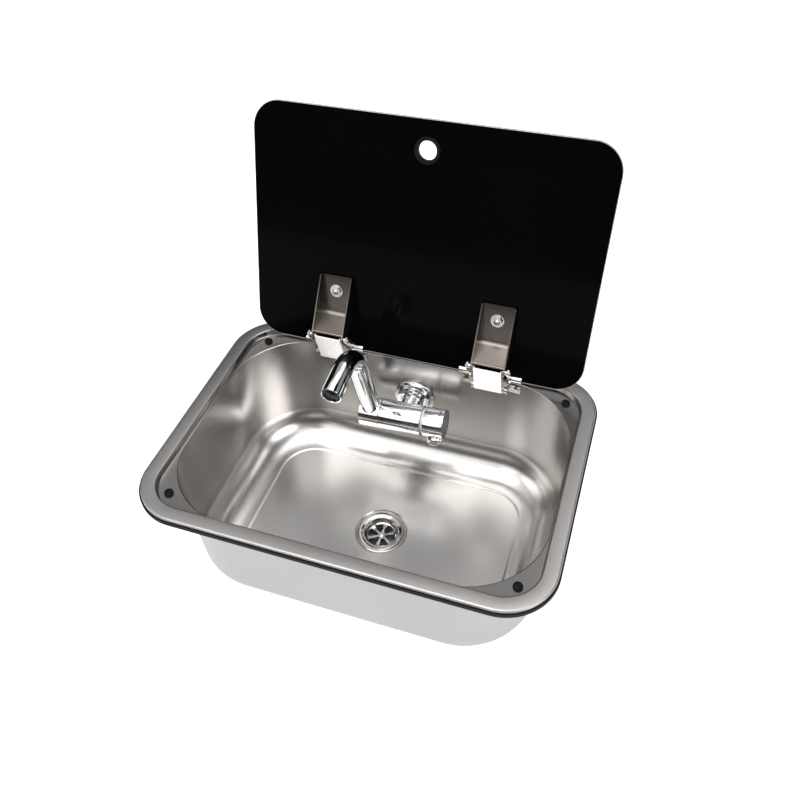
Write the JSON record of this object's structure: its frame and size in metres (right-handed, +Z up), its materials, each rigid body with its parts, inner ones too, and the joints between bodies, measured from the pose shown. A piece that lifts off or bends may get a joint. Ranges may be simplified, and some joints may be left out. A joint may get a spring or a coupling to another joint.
{
  "type": "rv sink with glass lid",
  "caption": "Drop-in rectangular sink bowl with a flush folding glass lid on goose-neck hinges, a fold-down single-lever mixer tap on its rear wall and a basket waste.",
  "frame": {"origin": "centre of the worktop cut-out, in the plane of the worktop's top face on which the rim gasket rests", "axes": "+X to the user's right along the long side, +Y towards the rear wall that carries the tap and lid hinges, +Z up"},
  "size_m": [0.534, 0.4472, 0.5812],
  "materials": {
    "bowl_steel": "pressed stainless sheet, fine brushed grain on the rim and satin inside the bowl",
    "hinge_steel": "bent stainless strip, satin with bright cut edges",
    "black_rubber": "matt black moulded rubber",
    "black_glass": "toughened glass, gloss black and opaque",
    "chrome": "polished chrome plate",
    "brass": "plain turned brass",
    "white_plastic": "moulded off-white plastic",
    "grey_plastic": "moulded dark grey plastic",
    "red_mark": "red temperature mark",
    "blue_mark": "blue temperature mark"
  },
  "bodies": {
    "sink": {"base_screw_left_inner": "hinge_steel", "base_screw_left_outer": "hinge_steel", "base_screw_right_inner": "hinge_steel", "base_screw_right_outer": "hinge_steel", "bumper_front_left": "black_rubber", "bumper_front_right": "black_rubber", "bumper_rear_left": "black_rubber", "bumper_rear_right": "black_rubber", "cartridge": "grey_plastic", "grid_screw": "hinge_steel", "hinge_base_left": "hinge_steel", "hinge_base_right": "hinge_steel", "pivot_pin_left": "hinge_steel", "pivot_pin_right": "hinge_steel", "rim_gasket": "black_rubber", "sink_bowl": "bowl_steel", "stay_rod_left": "chrome", "stay_rod_right": "chrome", "tap_body": "chrome", "tap_lock_nut": "brass", "tap_rose": "chrome", "tap_washer": "black_rubber", "trim_ring": "white_plastic", "waste_body": "grey_plastic", "waste_bridge": "grey_plastic", "waste_flange": "chrome", "waste_grid": "chrome", "waste_seal": "black_rubber"},
    "lid": {"arm_pad_left": "black_rubber", "arm_pad_right": "black_rubber", "arm_rivet_left_inner": "hinge_steel", "arm_rivet_left_outer": "hinge_steel", "arm_rivet_right_inner": "hinge_steel", "arm_rivet_right_outer": "hinge_steel", "cap_nut_left": "hinge_steel", "cap_nut_right": "hinge_steel", "finger_grommet": "black_rubber", "hinge_arm_left": "hinge_steel", "hinge_arm_right": "hinge_steel", "hinge_cheek_left_inner": "hinge_steel", "hinge_cheek_left_outer": "hinge_steel", "hinge_cheek_right_inner": "hinge_steel", "hinge_cheek_right_outer": "hinge_steel", "lid_bolt_left": "hinge_steel", "lid_bolt_right": "hinge_steel", "lid_glass": "black_glass", "stub_axle_left_inner": "chrome", "stub_axle_left_outer": "chrome", "stub_axle_right_inner": "chrome", "stub_axle_right_outer": "chrome"},
    "stay_left": {"stay_left": "hinge_steel"},
    "stay_right": {"stay_right": "hinge_steel"},
    "spout": {"spout": "chrome", "spout_plug": "chrome", "aerator": "white_plastic"},
    "mixer_rotor": {"cartridge_rotor": "white_plastic"},
    "mixer_handle": {"handle": "chrome", "hot_mark": "red_mark", "cold_mark": "blue_mark"}
  },
  "joints": [
    {"name": "lid_hinge", "type": "hinge", "parent": "sink", "child": "lid", "pos_m": [0, 0.164, 0.0124], "axis": [1, 0, 0], "range_deg": [0, 106.75]},
    {"name": "stay_left_swing", "type": "hinge", "parent": "sink", "child": "stay_left", "pos_m": [-0.115, 0.155, -0.006], "axis": [1, 0, 0], "range_deg": [0, 123.84]},
    {"name": "stay_right_swing", "type": "hinge", "parent": "sink", "child": "stay_right", "pos_m": [0.115, 0.155, -0.006], "axis": [1, 0, 0], "range_deg": [0, 123.84]},
    {"name": "spout_fold", "type": "hinge", "parent": "sink", "child": "spout", "pos_m": [0, 0.11973, -0.06899], "axis": [0.9986, 0.0011, 0.0523], "range_deg": [0, 73.7]},
    {"name": "handle_turn", "type": "hinge", "parent": "sink", "child": "mixer_rotor", "pos_m": [0, 0.11973, -0.06899], "axis": [0.9986, 0.0011, 0.0523], "range_deg": [-45, 45]},
    {"name": "handle_tilt", "type": "hinge", "parent": "mixer_rotor", "child": "mixer_handle", "pos_m": [0.03076, 0.11977, -0.06738], "axis": [-0.037, -0.6915, 0.7215], "range_deg": [0, 10]}
  ],
  "couplings": [
    {"joint": "stay_left_swing", "follows": "lid_hinge", "ratio": 1.1582},
    {"joint": "stay_right_swing", "follows": "lid_hinge", "ratio": 1.1582},
    {"joint": "spout_fold", "follows": "lid_hinge", "ratio": 0.68853}
  ]
}
